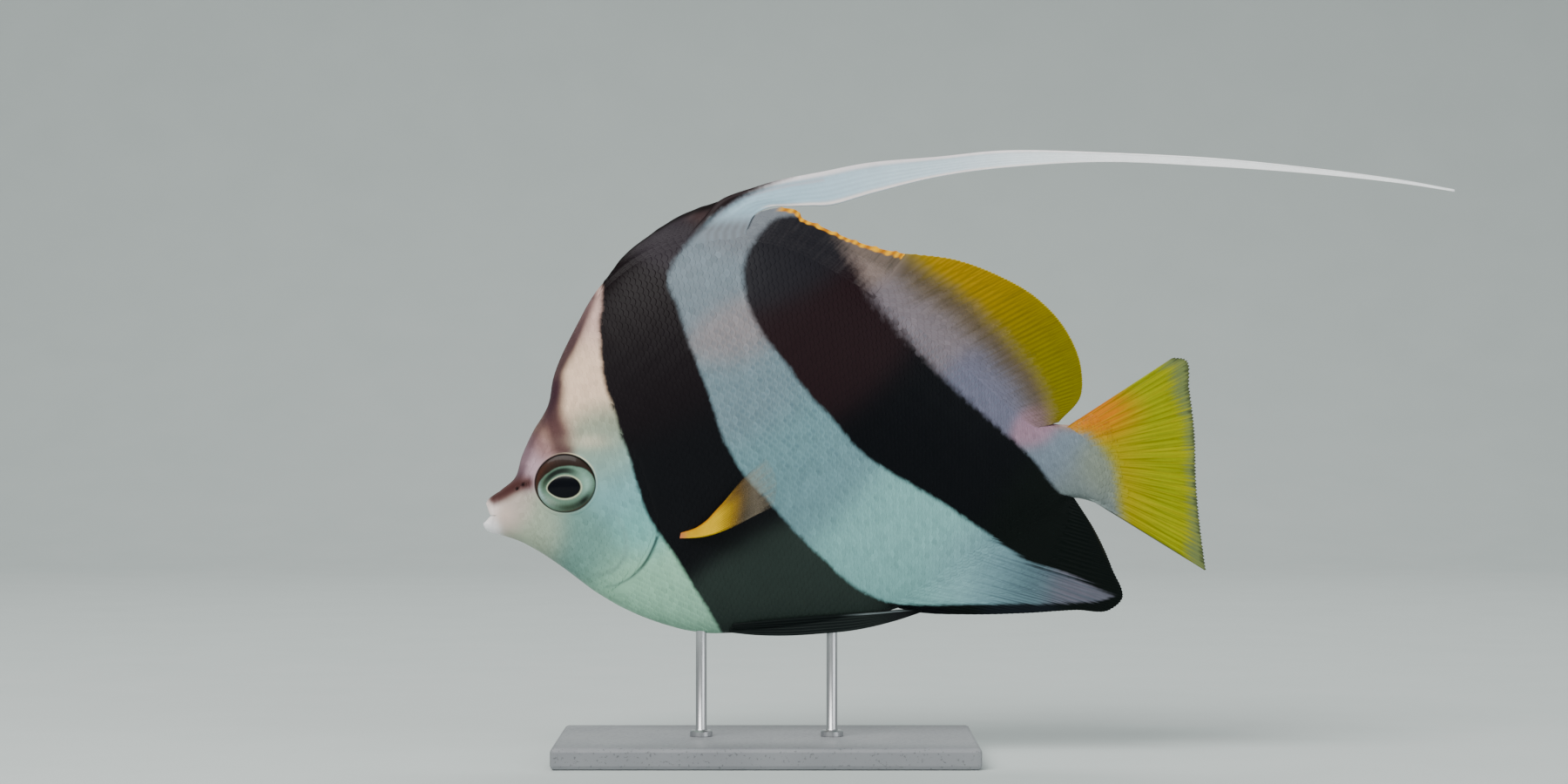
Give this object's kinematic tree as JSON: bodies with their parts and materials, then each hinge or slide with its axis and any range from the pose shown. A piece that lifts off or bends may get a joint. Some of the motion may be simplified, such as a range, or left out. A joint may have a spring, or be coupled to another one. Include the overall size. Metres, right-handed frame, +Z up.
{
  "type": "schooling bannerfish model on a display stand",
  "caption": "Still, life-size schooling bannerfish with a long white banner fin, held side-on over a flat base by two short rods.",
  "frame": {"origin": "middle of the underside of the stand's base, on the surface that it rests on", "axes": "+X towards the tail, +Y towards the fish's right side, +Z up"},
  "size_m": [0.2231, 0.058, 0.1395],
  "materials": {
    "pale_skin": "satin scaled skin, blue-grey white",
    "banded_skin": "satin scaled skin, white with two slanting black bands",
    "lip_skin": "smooth moist pink-white skin",
    "eye": "clear glossy eye, silver-green iris and black pupil",
    "dark_fin": "satin black fin membrane over fine rays",
    "white_fin": "satin white fin membrane",
    "yellow_fin": "satin olive yellow fin membrane over fine rays",
    "stand_base": "honed grey stone",
    "stand_rod": "fine drawn steel"
  },
  "bodies": {
    "root": {"head": "pale_skin", "gill_cover_left": "pale_skin", "gill_cover_right": "pale_skin", "upper_lip": "lip_skin", "lower_lip": "lip_skin", "eye_left": "eye", "eye_right": "eye", "trunk": "banded_skin", "peduncle": "pale_skin", "dorsal_front": "dark_fin", "banner": "white_fin", "dorsal_rear": "dark_fin", "soft_dorsal": "yellow_fin", "anal_fin": "dark_fin", "caudal_fin": "yellow_fin", "pectoral_left": "yellow_fin", "pectoral_right": "yellow_fin", "pelvic_left": "dark_fin", "pelvic_right": "dark_fin", "stand_base": "stand_base", "stand_rod_front": "stand_rod", "stand_rod_rear": "stand_rod"}
  },
  "joints": []
}
